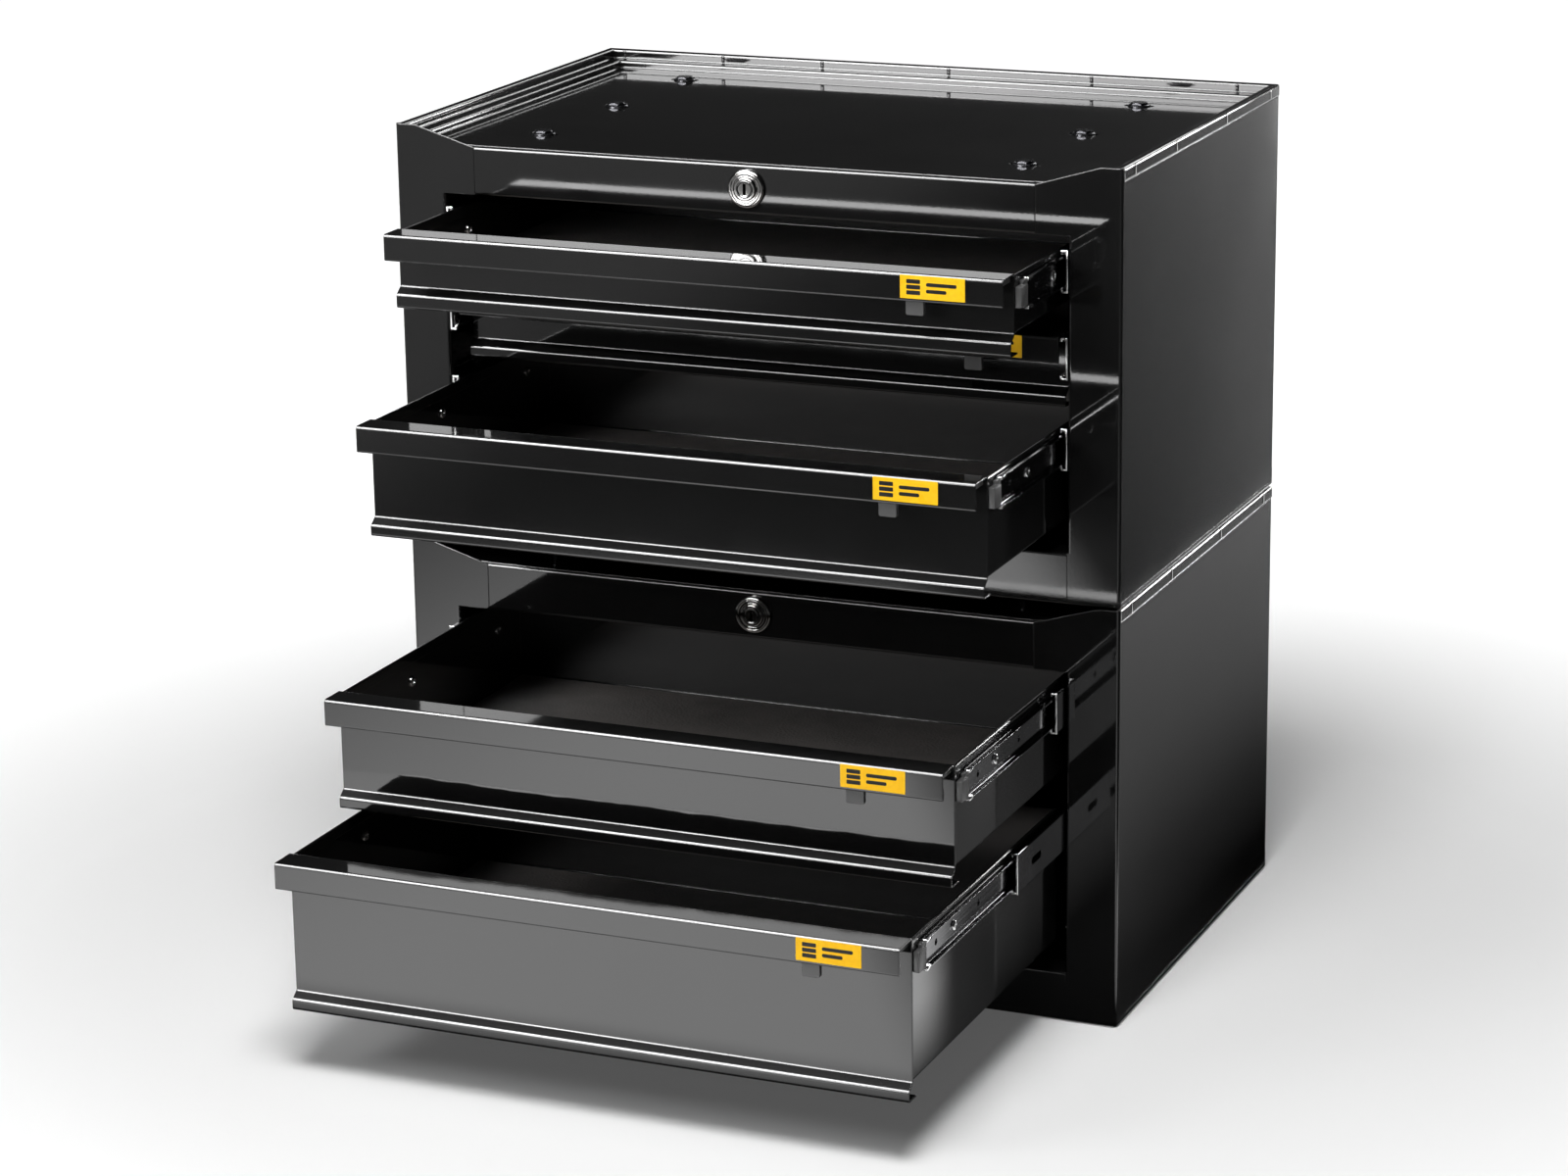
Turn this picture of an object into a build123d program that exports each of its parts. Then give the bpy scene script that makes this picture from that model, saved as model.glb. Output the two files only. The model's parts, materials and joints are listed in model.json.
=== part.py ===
from build123d import *
import math
import os

# Sheet-steel tool chest: two identical modules stacked on each other, five drawers
# on full-extension ball-bearing slides, two keyed locks.
# Millimetres. Origin at the bottom centre of the cabinet, +Z up, the front faces -Y.
# It is drawn with four drawers pulled out by different amounts and one shut.

# ---------------------------------------------------------------- cabinet
WIDTH = 610.0
DEPTH = 400.0
MODULE_H = 342.5
SHEET = 1.2
BEND = 1.0                      # inner bend radius of the sheet
HEM = 2 * SHEET + 0.2           # thickness of an edge that is folded back on itself
SHELL_LIFT = 4.5                # lower edge of the shell above the module's underside
HALF_W = WIDTH / 2
HALF_D = DEPTH / 2
FRONT = -HALF_D
MODULES = {"lower": 0.0, "upper": MODULE_H}

# front opening and the rails above and below it, heights above a module's underside
OPENING_HALF_W = 262.5
OPENING_TOP = 289.0
BOTTOM_RAIL_TOP = 42.0
TOP_RAIL_TOP = 327.6
RAIL_HALF_W = 235.5             # the top rail ends here, at the corner gussets
POST_FLAT_HALF_W = 287.5        # the post's top is level out from here
POST_LIP = 8.0
RAIL_FLANGE = 24.0

# tray on top of each module: a rim in two steps, and a floor
TRAY_FLOOR = 329.0
TRAY_LEDGE = 335.0
RIM_WIDTH = 7.5
LEDGE_WIDTH = 12.5
SKIRT_DROP = 9.5
SKIRT_SETBACK = 5.0
JOGGLE_LAP = 8.0

# slots and bolts in the tray and base floors
BOLT_X = (-204.5, 204.5)
BOLT_Y = (-137.0, 0.0, 137.0)
SLOT_LENGTH = 25.0
SLOT_WIDTH = 8.4
BOLT_D = 7.9
BOLT_LENGTH = 30.0
HEX_AF = 13.0
BOLT_HEAD_H = 3.2
NUT_H = 6.5

# ---------------------------------------------------------------- drawers
PANEL_HALF_W = 254.1
BOX_HALF_W = 254.0
BOX_LENGTH = 308.0
RAIL_REACH = 24.6               # how far the handle rail stands out from the panel
RAIL_HEIGHT = 21.0
LIP_REACH = 7.4
LIP_SLOPE = 5.6
SIDE_DROP = 1.5                 # sides stop this far under the top of the handle rail
FLOOR_LIFT = 0.2                # drawer floor above the start of the lip
SHUT_Y = FRONT + 25.5           # front face of a shut drawer's panel
MAT = 2.0

# name: (module, rail top, lip bottom, lip start, slide centre, pulled out by, slide pulled out by)
DRAWERS = {
    "drawer_1": ("upper", 621.6, 559.8, 575.9, 604.0, 121.2, 0.0),
    "drawer_2": ("upper", 553.5, 494.7, 508.6, 536.7, 0.0, 0.0),
    "drawer_3": ("upper", 482.6, 390.4, 404.4, 466.0, 177.7, 0.0),
    "drawer_4": ("lower", 282.4, 188.8, 202.8, 261.5, 245.8, 20.8),
    "drawer_5": ("lower", 178.6, 53.4, 67.2, 160.0, 332.8, 107.8),
}

# ---------------------------------------------------------------- slides
SLIDE_LENGTH = 350.0
OUTER_HALF_H = 22.5
OUTER_WEB = 266.7               # outer face of the fixed member
OUTER_FLANGE_IN = 262.7
RUNNER_HALF_H = 16.4
RUNNER_WEB = 261.8
RUNNER_FLANGE_IN = 255.8
INNER_HALF_H = 12.0
INNER_FLANGE_OUT = 259.2
INNER_SETBACK = 17.0            # inner member's front end behind the panel's face
OUTER_FRONT = FRONT + 11.0
RACE_R = 1.6

# uprights that carry the slides
UPRIGHT_Y = (-166.0, 130.0)
UPRIGHT_W = 40.0
UPRIGHT_T = 1.5
UPRIGHT_LOW = 22.0
UPRIGHT_HIGH = 324.0

# ---------------------------------------------------------------- lock
LOCK_Z = 309.0
BEZEL_R = 15.0
BEZEL_H = 3.6
BODY_R = 12.5
BODY_LENGTH = 32.0
PLUG_R = 9.0
PLUG_PROUD = 2.2
ROD_R = 4.0
CRANK_ARM = 10.0
CRANK_T = 4.0
PIN_R = 2.5
BAR_Y = 186.0
BAR_T = 3.0
BAR_HALF_W = 10.0
FINGER_FRONT = 169.0
FINGER_LIFT = 12.0
CATCH_LIP_Y = 178.0
CATCH_H = 11.5
CATCH_DROP = 14.0               # catch plate below the top of the drawer's back
FINGER_GAP = 1.2                # finger above the catch when the lock is open
ROD_END = 180.0

# ---------------------------------------------------------------- drawer latch
TAB_X = 184.0
TAB_W = 14.0
TAB_HANG = 11.0
TAB_T = 4.0
LATCH_END = 251.0


def block(x0, x1, y0, y1, z0, z1):
    """A box between two corners."""
    size = (x1 - x0, y1 - y0, z1 - z0)
    middle = ((x0 + x1) / 2, (y0 + y1) / 2, (z0 + z1) / 2)
    return Pos(*middle) * Box(*size)


def mirrored(shape):
    """The same shape on the other side of the cabinet."""
    return mirror(shape, about=Plane.YZ)


def sheet_face(points, bend=BEND, thickness=SHEET):
    """Section of a bent sheet along its middle line, every corner rounded."""
    path = FilletPolyline(*points, radius=bend + thickness / 2)
    return trace(path, line_width=thickness)


def along_x(face, x0, x1):
    """A section drawn as (y, z) pulled along X."""
    plane = Plane(origin=(x0, 0, 0), x_dir=(0, 1, 0), z_dir=(1, 0, 0))
    return extrude(plane * face, amount=x1 - x0)


def along_y(face, y0, y1):
    """A section drawn as (x, z) pulled along Y."""
    plane = Plane(origin=(0, y0, 0), x_dir=(1, 0, 0), z_dir=(0, -1, 0))
    return extrude(plane * face, amount=-(y1 - y0))


def along_z(face, z0, z1):
    """A section drawn as (x, y) pulled along Z."""
    return extrude(Pos(0, 0, z0) * face, amount=z1 - z0)


def hem_face(a, b, height, up=1):
    """Section of a folded edge from a to b with a round nose, height long."""
    r = (b - a) / 2
    body = Pos((a + b) / 2, up * (r + height) / 2) * Rectangle(b - a, height - r)
    nose = Pos((a + b) / 2, up * r) * Circle(r)
    return body + nose


def cylinder_y(radius, y0, y1, x=0.0, z=0.0):
    return Pos(x, (y0 + y1) / 2, z) * Rot(90, 0, 0) * Cylinder(radius, y1 - y0)


def cylinder_z(radius, z0, z1, x=0.0, y=0.0):
    return Pos(x, y, (z0 + z1) / 2) * Cylinder(radius, z1 - z0)


def hexagon_z(across, z0, z1, x=0.0, y=0.0):
    return Pos(x, y, z0) * extrude(RegularPolygon(across / math.sqrt(3), 6), amount=z1 - z0)


def slot_z(x, y, z0, z1):
    return Pos(x, y, z0) * extrude(SlotOverall(SLOT_LENGTH, SLOT_WIDTH), amount=z1 - z0)


# ---------------------------------------------------------------- module shell
def side_panel(base):
    """Right side: wall, front post with its gusset, return lip and back flange in one sheet."""
    mid = SHEET / 2
    wall_x = HALF_W - mid
    front_y = FRONT + mid
    back = [(wall_x, HALF_D - mid), (HALF_W - 14, HALF_D - mid)]
    low = base + SHELL_LIFT
    skirt = base + MODULE_H - SKIRT_DROP - 0.3
    top = base + MODULE_H
    foot = along_z(
        sheet_face([(OPENING_HALF_W, front_y), (wall_x, front_y)] + back),
        low + 2,
        base + BOTTOM_RAIL_TOP,
    )
    lip = [(OPENING_HALF_W + mid, front_y + POST_LIP), (OPENING_HALF_W + mid, front_y)]
    post = along_z(
        sheet_face(lip + [(wall_x, front_y)] + back), base + BOTTOM_RAIL_TOP, base + OPENING_TOP
    )
    gusset = along_z(
        sheet_face([(RAIL_HALF_W + 0.2, front_y), (wall_x, front_y)] + back),
        base + OPENING_TOP,
        skirt,
    )
    corner = along_z(
        sheet_face([(RAIL_HALF_W + 0.2, front_y), (wall_x, front_y), (wall_x, FRONT + SKIRT_SETBACK)]),
        skirt,
        top,
    )
    joggle = block(
        HALF_W - 2 * SHEET, HALF_W - SHEET,
        FRONT + SHEET, HALF_D - 2 * SHEET,
        skirt - JOGGLE_LAP, top - SHEET - BEND - 0.1,
    )
    hem = along_y(hem_face(HALF_W - HEM, HALF_W, 12), FRONT + BEND, HALF_D - SHEET)
    front_hem = block(OPENING_HALF_W, HALF_W - 2, FRONT, FRONT + SHEET, low, low + 4)
    panel = foot + post + gusset + corner + joggle + Pos(0, 0, low) * hem + front_hem
    slope = Polyline(
        (RAIL_HALF_W - 5, top + 5),
        (RAIL_HALF_W - 5, base + TRAY_FLOOR - 2),
        (RAIL_HALF_W, base + TRAY_FLOOR - 2),
        (POST_FLAT_HALF_W, top),
        (POST_FLAT_HALF_W, top + 5),
        close=True,
    )
    return panel - along_y(make_face(slope), FRONT - 5, FRONT + SHEET + 0.1)


def back_panel(base):
    return block(
        -HALF_W + HEM + 0.3, HALF_W - HEM - 0.3,
        HALF_D - 2 * SHEET, HALF_D - SHEET,
        base + SHELL_LIFT, base + MODULE_H - SHEET - BEND - 0.1,
    )


def tray_rim_points(outer):
    """Middle line of the rim from the skirt's edge to the floor; outer is the skirt's face."""
    mid = SHEET / 2
    skirt_x = outer - mid
    wall_x = outer - RIM_WIDTH + mid
    ledge_x = outer - RIM_WIDTH - LEDGE_WIDTH + mid
    return [
        (skirt_x, MODULE_H - SKIRT_DROP),
        (skirt_x, MODULE_H - mid),
        (wall_x, MODULE_H - mid),
        (wall_x, TRAY_LEDGE - mid),
        (ledge_x, TRAY_LEDGE - mid),
        (ledge_x, TRAY_FLOOR - mid),
        (ledge_x - 8, TRAY_FLOOR - mid),
    ]


def top_tray(base):
    """Lift-proof tray: floor, stepped rim on three sides, skirt over the shell."""
    side_face = sheet_face(tray_rim_points(HALF_W))
    back_face = sheet_face(tray_rim_points(HALF_D))
    floor_x = HALF_W - RIM_WIDTH - LEDGE_WIDTH - 7
    floor_y = HALF_D - RIM_WIDTH - LEDGE_WIDTH - 7
    right = along_y(side_face, FRONT + SHEET, HALF_D)
    corner = Plane(origin=(HALF_W, HALF_D, 0), x_dir=(1, 1, 0), z_dir=(1, -1, 0))
    right = split(right, bisect_by=corner, keep=Keep.TOP)
    back = along_x(back_face, -HALF_W, HALF_W)
    back = split(back, bisect_by=corner, keep=Keep.BOTTOM)
    left_corner = Plane(origin=(-HALF_W, HALF_D, 0), x_dir=(1, -1, 0), z_dir=(-1, -1, 0))
    back = split(back, bisect_by=left_corner, keep=Keep.BOTTOM)
    floor = block(-floor_x, floor_x, FRONT + SHEET, floor_y, TRAY_FLOOR - SHEET, TRAY_FLOOR)
    front_edge = block(
        -RAIL_HALF_W, RAIL_HALF_W, FRONT, FRONT + SHEET, TRAY_FLOOR - SHEET, TRAY_FLOOR
    )
    tray = right + mirrored(right) + back + floor + front_edge
    setback = block(
        HALF_W - SHEET, HALF_W + 1, FRONT - 1, FRONT + SKIRT_SETBACK + 0.2, TRAY_FLOOR, MODULE_H + 1
    )
    tray = tray - setback - mirrored(setback)
    for x in BOLT_X:
        for y in BOLT_Y:
            tray = tray - slot_z(x, y, TRAY_FLOOR - 5, TRAY_FLOOR + 5)
    return Pos(0, 0, base) * tray


def base_pan(base):
    """Shallow pan set in under the shell, with slots for the bolts."""
    half_x = HALF_W - HEM - 0.3
    half_y = HALF_D - HEM - 0.3
    height = 14.0
    outer = block(-half_x, half_x, -half_y, half_y, 0, height)
    edges = outer.edges().filter_by(Axis.Z)
    outer = fillet(edges, 3)
    outer = fillet(outer.faces().sort_by(Axis.Z)[0].edges(), BEND + SHEET)
    inner = block(
        -half_x + SHEET, half_x - SHEET, -half_y + SHEET, half_y - SHEET, SHEET, height + 1
    )
    inner = fillet(inner.edges().filter_by(Axis.Z), 3 - SHEET)
    inner = fillet(inner.faces().sort_by(Axis.Z)[0].edges(), BEND)
    pan = outer - inner
    for x in BOLT_X:
        for y in BOLT_Y:
            pan = pan - slot_z(x, y, -1, SHEET + 1)
    return Pos(0, 0, base) * pan


def top_rail(base):
    mid = SHEET / 2
    y = FRONT + mid
    points = [
        (y + RAIL_FLANGE, base + OPENING_TOP + 6),
        (y + RAIL_FLANGE, base + OPENING_TOP + mid),
        (y, base + OPENING_TOP + mid),
        (y, base + TOP_RAIL_TOP - mid),
        (y + RAIL_FLANGE, base + TOP_RAIL_TOP - mid),
    ]
    rail = along_x(sheet_face(points), -RAIL_HALF_W, RAIL_HALF_W)
    return rail - cylinder_y(BODY_R + 0.1, FRONT - 1, FRONT + 3, z=base + LOCK_Z)


def bottom_rail(base):
    mid = SHEET / 2
    y = FRONT + mid
    z = base + BOTTOM_RAIL_TOP - mid
    low = base + SHELL_LIFT
    points = [(y, low + 5), (y, z), (y + RAIL_FLANGE, z), (y + RAIL_FLANGE, z - 10)]
    rail = along_x(sheet_face(points), -OPENING_HALF_W + 0.1, OPENING_HALF_W - 0.1)
    hem = along_x(hem_face(FRONT, FRONT + HEM, 12), -OPENING_HALF_W + 0.1, OPENING_HALF_W - 0.1)
    return rail + Pos(0, 0, low) * hem


def slide_uprights(base):
    """Four channels, two each side, that the fixed slide members screw to."""
    mid = UPRIGHT_T / 2
    web = OUTER_WEB + mid + 0.05
    wall = HALF_W - SHEET - 0.05
    uprights = []
    for y in UPRIGHT_Y:
        half = UPRIGHT_W / 2 - mid
        points = [(wall, y - half), (web, y - half), (web, y + half), (wall, y + half)]
        face = sheet_face(points, thickness=UPRIGHT_T)
        channel = along_z(face, base + UPRIGHT_LOW, base + UPRIGHT_HIGH)
        uprights += [channel, mirrored(channel)]
    return Compound(children=uprights)


# ---------------------------------------------------------------- slides
def slide_member(web, tip, half_h, y0, y1, z, curl=0.0):
    """One member of a slide: a web with a race bent over at the top and at the bottom."""
    step = SHEET if web > tip else -SHEET
    mid_web = web - step / 2
    z0 = z - half_h + SHEET / 2
    z1 = z + half_h - SHEET / 2
    points = [(tip, z0), (mid_web, z0), (mid_web, z1), (tip, z1)]
    if curl:
        points = [(tip + step / 2, z0 + curl)] + [(tip + step / 2, z0)] + points[1:3]
        points += [(tip + step / 2, z1), (tip + step / 2, z1 - curl)]
    return along_y(sheet_face(points, bend=RACE_R - SHEET), y0, y1)


def outer_members(names):
    members = []
    for name in names:
        z = DRAWERS[name][4]
        member = slide_member(
            OUTER_WEB, OUTER_FLANGE_IN, OUTER_HALF_H,
            OUTER_FRONT, OUTER_FRONT + SLIDE_LENGTH, z,
        )
        members += [member, mirrored(member)]
    return Compound(children=members)


def runner(name):
    """The middle slide members, left and right, of one drawer."""
    z, out = DRAWERS[name][4], DRAWERS[name][6]
    y = FRONT + 0.5 - out
    member = slide_member(
        RUNNER_WEB, RUNNER_FLANGE_IN, RUNNER_HALF_H, y, y + SLIDE_LENGTH, z, curl=2.6
    )
    for k in (0.12, 0.5, 0.88):
        slot = Pos(RUNNER_WEB, y + k * SLIDE_LENGTH, z) * Rot(0, 90, 0) * Rot(0, 0, 90)
        member = member - slot * extrude(SlotOverall(22, 6), amount=6, both=True)
    return Compound(children=[member, mirrored(member)])


def inner_members(name):
    """The slide members that are screwed to the drawer."""
    z, out = DRAWERS[name][4], DRAWERS[name][5]
    y = SHUT_Y - out + INNER_SETBACK
    member = slide_member(
        BOX_HALF_W, INNER_FLANGE_OUT, INNER_HALF_H, y, y + BOX_LENGTH - INNER_SETBACK - 4, z
    )
    for k in (28.0, 64.0, 116.0, 208.0, 262.0):
        hole = Pos(BOX_HALF_W, y + k, z) * Rot(0, 90, 0) * Cylinder(2.6, 12)
        member = member - hole
    return Compound(children=[member, mirrored(member)])


# ---------------------------------------------------------------- drawers
def drawer_front(name):
    """Panel, J-shaped handle rail and hollow bottom lip, bent from one sheet."""
    rail_top, lip_low, lip_start, out = (
        DRAWERS[name][1], DRAWERS[name][2], DRAWERS[name][3], DRAWERS[name][5]
    )
    mid = SHEET / 2
    panel = SHUT_Y - out
    face_y = panel - RAIL_REACH + mid
    hem_y = face_y + SHEET + 0.3
    panel_y = panel + mid
    lip_y = panel - LIP_REACH + mid
    rail_low = rail_top - RAIL_HEIGHT + mid
    points = [
        (hem_y, rail_low + 8),
        (hem_y, rail_low),
        (face_y, rail_low),
        (face_y, rail_top - mid),
        (panel_y, rail_top - mid),
        (panel_y, lip_start),
        (lip_y, lip_start - LIP_SLOPE),
        (lip_y, lip_low + mid),
        (panel + SHEET + 6, lip_low + mid),
    ]
    path = FilletPolyline(*points, radius=[0.74, 0.74, 1.6, 1.6, 2.0, 2.0, 1.6])
    section = trace(path, line_width=SHEET)
    return along_x(section, -PANEL_HALF_W, PANEL_HALF_W)


def drawer_box(name):
    """Sides, back and floor, with folded top edges and the catch for the lock bar."""
    rail_top, lip_start, out = DRAWERS[name][1], DRAWERS[name][3], DRAWERS[name][5]
    y0 = SHUT_Y - out + SHEET
    y1 = y0 + BOX_LENGTH
    low = lip_start + FLOOR_LIFT
    high = rail_top - SIDE_DROP
    mid = SHEET / 2
    side_x = BOX_HALF_W - mid
    points = [(-side_x, high - 4), (-side_x, low + mid), (side_x, low + mid), (side_x, high - 4)]
    trough = along_y(sheet_face(points), y0, y1)
    back = block(-BOX_HALF_W + SHEET, BOX_HALF_W - SHEET, y1 - SHEET, y1, low + mid, high - 1)
    hem = Pos(0, 0, high) * along_y(hem_face(BOX_HALF_W - HEM, BOX_HALF_W, 9, up=-1), y0, y1)
    box = trough + back + hem + mirrored(hem)
    tab = block(BOX_HALF_W - 14, BOX_HALF_W - SHEET, y0, y0 + SHEET, low + mid, high - 2)
    box = box + tab + mirrored(tab)
    lip_y = CATCH_LIP_Y - out
    plate_z = high - CATCH_DROP
    catch = block(-15, 15, y1, lip_y + 2, plate_z, plate_z + 2)
    catch = catch + block(-15, 15, lip_y, lip_y + 2, plate_z, plate_z + CATCH_H)
    return box + catch


def mat_slab(name):
    lip_start, out = DRAWERS[name][3], DRAWERS[name][5]
    y0 = SHUT_Y - out + 2 * SHEET
    z0 = lip_start + FLOOR_LIFT + SHEET
    half = BOX_HALF_W - HEM - 0.6
    slab = block(-half, half, y0 + 0.6, y0 + BOX_LENGTH - 2 * SHEET - 0.8, z0, z0 + MAT)
    return fillet(slab.edges().filter_by(Axis.Z), 2.0)


def latch(name):
    """Thumb tab under the handle rail, with the sliding bolt that it draws."""
    rail_top, out = DRAWERS[name][1], DRAWERS[name][5]
    panel = SHUT_Y - out
    tab_y = panel - RAIL_REACH + HEM + 0.9
    top = rail_top - SHEET - 0.3
    slider = block(TAB_X - 22, LATCH_END, tab_y, panel - 0.4, top - 5.0, top)
    tab = block(
        TAB_X - TAB_W / 2, TAB_X + TAB_W / 2,
        tab_y, tab_y + TAB_T,
        rail_top - RAIL_HEIGHT - TAB_HANG, top - 4,
    )
    tab = fillet(tab.edges().filter_by(Axis.Y).sort_by(Axis.Z)[:2], 1.5)
    return slider + tab


# ---------------------------------------------------------------- lock
def lock_housing(base):
    z = base + LOCK_Z
    body = cylinder_y(BODY_R, FRONT - 0.5, FRONT + BODY_LENGTH, z=z)
    bezel = cylinder_y(BEZEL_R, FRONT - BEZEL_H, FRONT, z=z)
    bezel = fillet(bezel.faces().sort_by(Axis.Y)[0].edges(), 1.6)
    bore = cylinder_y(PLUG_R + 0.15, FRONT - 10, FRONT + BODY_LENGTH + 1, z=z)
    return body + bezel - bore


def lock_nut(base):
    z = base + LOCK_Z
    face = Pos(0, FRONT + SHEET, z) * Rot(90, 0, 0) * extrude(
        RegularPolygon(32.0 / math.sqrt(3), 6), amount=-6.0
    )
    return face - cylinder_y(BODY_R + 0.08, FRONT, FRONT + 10, z=z)


def lock_plug(base):
    z = base + LOCK_Z
    plug = cylinder_y(PLUG_R, FRONT - BEZEL_H - PLUG_PROUD, FRONT + BODY_LENGTH + 4, z=z)
    front = plug.faces().sort_by(Axis.Y)[0]
    plug = fillet(front.edges(), 0.8)
    keyway = block(-1.2, 1.2, FRONT - 20, FRONT + 8, z - 4.6, z + 4.6)
    return plug - keyway


def lock_rod(base):
    """Rod from the plug to the back, with the crank and pin that work the bar."""
    z = base + LOCK_Z
    rod = cylinder_y(ROD_R, FRONT + BODY_LENGTH + 4, ROD_END, z=z)
    crank = cylinder_y(8.0, ROD_END, ROD_END + CRANK_T, z=z)
    crank = crank + block(0, CRANK_ARM, ROD_END, ROD_END + CRANK_T, z - 5.0, z + 5.0)
    crank = crank + cylinder_y(5.0, ROD_END, ROD_END + CRANK_T, x=CRANK_ARM, z=z)
    pin = cylinder_y(PIN_R, ROD_END + CRANK_T, BAR_Y + BAR_T + 2, x=CRANK_ARM, z=z)
    return rod + crank + pin


def lock_bar(base, names):
    """Flat bar behind the drawers with one finger for each drawer's catch."""
    z = base + LOCK_Z
    finger_zs = [DRAWERS[name][1] - SIDE_DROP - CATCH_DROP + CATCH_H + FINGER_GAP for name in names]
    low = min(finger_zs) - 6
    bar = block(-BAR_HALF_W, BAR_HALF_W, BAR_Y, BAR_Y + BAR_T, low, z + 12)
    head = block(-BAR_HALF_W, 18, BAR_Y, BAR_Y + BAR_T, z - 12, z + 12)
    window = block(-4, 14, BAR_Y - 1, BAR_Y + BAR_T + 1, z - PIN_R - 3.2, z + PIN_R + 3.2)
    bar = bar + head - window
    for finger_z in finger_zs:
        arm_z = finger_z + FINGER_LIFT
        bar = bar + block(-8, 8, FINGER_FRONT, BAR_Y, arm_z, arm_z + 3)
        bar = bar + block(-8, 8, FINGER_FRONT, FINGER_FRONT + 3, finger_z, arm_z)
    return bar


# ---------------------------------------------------------------- fasteners
def bolt_places():
    for x in BOLT_X:
        for y in BOLT_Y:
            yield x, y


def cabinet_bolts():
    """Six bolts on the top tray, and six that tie the upper module to the lower one."""
    bolts = []
    for seat in (MODULE_H + SHEET, MODULE_H + TRAY_FLOOR):
        for x, y in bolt_places():
            head = hexagon_z(HEX_AF, seat, seat + BOLT_HEAD_H, x, y)
            crown = Pos(x, y, seat) * Cone(
                HEX_AF * 0.75, HEX_AF * 0.5, BOLT_HEAD_H, align=(Align.CENTER, Align.CENTER, Align.MIN)
            )
            bolts.append((head & crown) + cylinder_z(BOLT_D / 2, seat - BOLT_LENGTH, seat, x, y))
    return Compound(children=bolts)


def cabinet_nuts():
    nuts = []
    for seat in (TRAY_FLOOR - SHEET, MODULE_H + TRAY_FLOOR - SHEET):
        for x, y in bolt_places():
            nut = hexagon_z(HEX_AF, seat - NUT_H, seat, x, y)
            nuts.append(nut - cylinder_z(BOLT_D / 2 + 0.05, seat - NUT_H - 1, seat + 1, x, y))
    return Compound(children=nuts)


def build():
    nodes = {}
    for module, base in MODULES.items():
        names = [name for name in DRAWERS if DRAWERS[name][0] == module]
        panel = side_panel(base)
        nodes[f"right_side_{module}"] = panel
        nodes[f"left_side_{module}"] = mirrored(panel)
        nodes[f"back_panel_{module}"] = back_panel(base)
        nodes[f"top_tray_{module}"] = top_tray(base)
        nodes[f"base_pan_{module}"] = base_pan(base)
        nodes[f"top_rail_{module}"] = top_rail(base)
        nodes[f"bottom_rail_{module}"] = bottom_rail(base)
        nodes[f"slide_uprights_{module}"] = slide_uprights(base)
        nodes[f"slide_outers_{module}"] = outer_members(names)
        nodes[f"lock_housing_{module}"] = lock_housing(base)
        nodes[f"lock_nut_{module}"] = lock_nut(base)
        nodes[f"lock_plug_{module}"] = lock_plug(base)
        nodes[f"lock_rod_{module}"] = lock_rod(base)
        nodes[f"lock_bar_{module}"] = lock_bar(base, names)
    for name in DRAWERS:
        nodes[f"{name}_runner"] = runner(name)
        nodes[f"{name}_slide_inner"] = inner_members(name)
        nodes[f"{name}_box"] = drawer_box(name)
        nodes[f"{name}_front"] = drawer_front(name)
        nodes[f"{name}_latch"] = latch(name)
        nodes[f"{name}_mat"] = mat_slab(name)
    nodes["cabinet_bolts"] = cabinet_bolts()
    nodes["cabinet_nuts"] = cabinet_nuts()
    return nodes


def main():
    os.makedirs("parts", exist_ok=True)
    for name, shape in build().items():
        export_step(shape, f"parts/{name}.step")
        print(name, round(shape.volume / 1000, 2), "cm3")


main()
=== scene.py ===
import json
import math

import bmesh
import bpy
from mathutils import Matrix, Vector


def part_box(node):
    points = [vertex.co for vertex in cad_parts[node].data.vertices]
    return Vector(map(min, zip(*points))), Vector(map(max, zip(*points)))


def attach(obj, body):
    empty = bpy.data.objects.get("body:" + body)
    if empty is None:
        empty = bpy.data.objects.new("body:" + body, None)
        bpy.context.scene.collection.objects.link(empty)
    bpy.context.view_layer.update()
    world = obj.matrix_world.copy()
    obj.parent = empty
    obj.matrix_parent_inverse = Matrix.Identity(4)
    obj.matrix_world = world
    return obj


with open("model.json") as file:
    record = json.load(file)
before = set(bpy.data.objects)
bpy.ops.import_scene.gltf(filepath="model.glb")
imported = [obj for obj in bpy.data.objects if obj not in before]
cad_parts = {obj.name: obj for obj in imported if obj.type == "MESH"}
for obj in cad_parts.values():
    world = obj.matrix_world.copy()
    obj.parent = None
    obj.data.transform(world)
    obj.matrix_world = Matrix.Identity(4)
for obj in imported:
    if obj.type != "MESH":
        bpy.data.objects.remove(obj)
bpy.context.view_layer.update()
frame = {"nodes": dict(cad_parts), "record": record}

# Looks of the tool chest: studio, materials, and the small pieces that the CAD nodes don't hold.
# Metres. The object's sizes are written in millimetres times MM, the studio's in metres.
MM = 0.001
scene = bpy.context.scene
nodes = frame["nodes"]
MODULES = ("lower", "upper")
DRAWERS = ("drawer_1", "drawer_2", "drawer_3", "drawer_4", "drawer_5")
HALF_W = 305 * MM
MODULE_H = 342.5 * MM

# ---------------------------------------------------------------- camera
CAMERA_PLACE = Vector((1.3214, -3.2104, 1.2829))
CAMERA_AZIMUTH = 23.281
CAMERA_ELEVATION = 16.16
CAMERA_ROLL = -0.826
CAMERA_LENS = 99.24


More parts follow.
